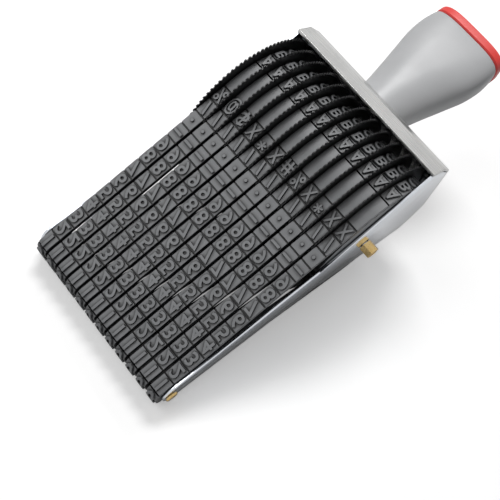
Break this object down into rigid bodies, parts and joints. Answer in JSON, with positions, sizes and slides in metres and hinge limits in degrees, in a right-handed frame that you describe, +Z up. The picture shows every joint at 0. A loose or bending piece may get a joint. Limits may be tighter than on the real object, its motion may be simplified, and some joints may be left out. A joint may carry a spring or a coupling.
{
  "type": "roller stamp",
  "caption": "Hand band stamp with side-by-side rubber character bands on toothed wheels, in a metal frame with a plastic handle.",
  "frame": {"origin": "middle of the footprint on the table, with the stamp lying on its wheels and the platen", "axes": "+X along the wheel axle, +Y from the printing end to the handle, +Z up from the table"},
  "size_m": [0.0842, 0.1858, 0.0717],
  "materials": {
    "band_rubber": "dark grey moulded rubber, matt with worn lighter tops",
    "wheel_plastic": "black moulded plastic, satin",
    "plate_chrome": "mirror chrome on sheet steel",
    "hood_nickel": "bright satin nickel on sheet steel",
    "small_steel": "plain turned steel",
    "brass": "bright turned brass",
    "platen_plastic": "black moulded plastic",
    "handle_plastic": "grey moulded plastic, soft satin sheen",
    "cap_plastic": "red moulded plastic, semi-gloss"
  },
  "bodies": {
    "frame": {"band_01": "band_rubber", "band_02": "band_rubber", "band_03": "band_rubber", "band_04": "band_rubber", "band_05": "band_rubber", "band_06": "band_rubber", "band_07": "band_rubber", "band_08": "band_rubber", "band_09": "band_rubber", "band_10": "band_rubber", "band_11": "band_rubber", "band_12": "band_rubber", "left_side_plate": "plate_chrome", "right_side_plate": "plate_chrome", "hood": "hood_nickel", "hood_rivet_1": "small_steel", "hood_rivet_2": "small_steel", "hood_rivet_3": "small_steel", "hood_rivet_4": "small_steel", "axle": "small_steel", "left_axle_nut": "brass", "right_axle_nut": "brass", "platen_bar": "platen_plastic", "left_platen_rivet": "brass", "right_platen_rivet": "brass", "handle": "handle_plastic", "end_cap": "cap_plastic", "handle_screw": "small_steel"},
    "wheel_body_01": {"wheel_01": "wheel_plastic"},
    "wheel_body_02": {"wheel_02": "wheel_plastic"},
    "wheel_body_03": {"wheel_03": "wheel_plastic"},
    "wheel_body_04": {"wheel_04": "wheel_plastic"},
    "wheel_body_05": {"wheel_05": "wheel_plastic"},
    "wheel_body_06": {"wheel_06": "wheel_plastic"},
    "wheel_body_07": {"wheel_07": "wheel_plastic"},
    "wheel_body_08": {"wheel_08": "wheel_plastic"},
    "wheel_body_09": {"wheel_09": "wheel_plastic"},
    "wheel_body_10": {"wheel_10": "wheel_plastic"},
    "wheel_body_11": {"wheel_11": "wheel_plastic"},
    "wheel_body_12": {"wheel_12": "wheel_plastic"}
  },
  "joints": [
    {"name": "wheel_01_turn", "type": "hinge", "parent": "frame", "child": "wheel_body_01", "pos_m": [0, 0.00002, 0.0345], "axis": [1, 0, 0], "continuous": true},
    {"name": "wheel_02_turn", "type": "hinge", "parent": "frame", "child": "wheel_body_02", "pos_m": [0, 0.00002, 0.0345], "axis": [1, 0, 0], "continuous": true},
    {"name": "wheel_03_turn", "type": "hinge", "parent": "frame", "child": "wheel_body_03", "pos_m": [0, 0.00002, 0.0345], "axis": [1, 0, 0], "continuous": true},
    {"name": "wheel_04_turn", "type": "hinge", "parent": "frame", "child": "wheel_body_04", "pos_m": [0, 0.00002, 0.0345], "axis": [1, 0, 0], "continuous": true},
    {"name": "wheel_05_turn", "type": "hinge", "parent": "frame", "child": "wheel_body_05", "pos_m": [0, 0.00002, 0.0345], "axis": [1, 0, 0], "continuous": true},
    {"name": "wheel_06_turn", "type": "hinge", "parent": "frame", "child": "wheel_body_06", "pos_m": [0, 0.00002, 0.0345], "axis": [1, 0, 0], "continuous": true},
    {"name": "wheel_07_turn", "type": "hinge", "parent": "frame", "child": "wheel_body_07", "pos_m": [0, 0.00002, 0.0345], "axis": [1, 0, 0], "continuous": true},
    {"name": "wheel_08_turn", "type": "hinge", "parent": "frame", "child": "wheel_body_08", "pos_m": [0, 0.00002, 0.0345], "axis": [1, 0, 0], "continuous": true},
    {"name": "wheel_09_turn", "type": "hinge", "parent": "frame", "child": "wheel_body_09", "pos_m": [0, 0.00002, 0.0345], "axis": [1, 0, 0], "continuous": true},
    {"name": "wheel_10_turn", "type": "hinge", "parent": "frame", "child": "wheel_body_10", "pos_m": [0, 0.00002, 0.0345], "axis": [1, 0, 0], "continuous": true},
    {"name": "wheel_11_turn", "type": "hinge", "parent": "frame", "child": "wheel_body_11", "pos_m": [0, 0.00002, 0.0345], "axis": [1, 0, 0], "continuous": true},
    {"name": "wheel_12_turn", "type": "hinge", "parent": "frame", "child": "wheel_body_12", "pos_m": [0, 0.00002, 0.0345], "axis": [1, 0, 0], "continuous": true}
  ]
}
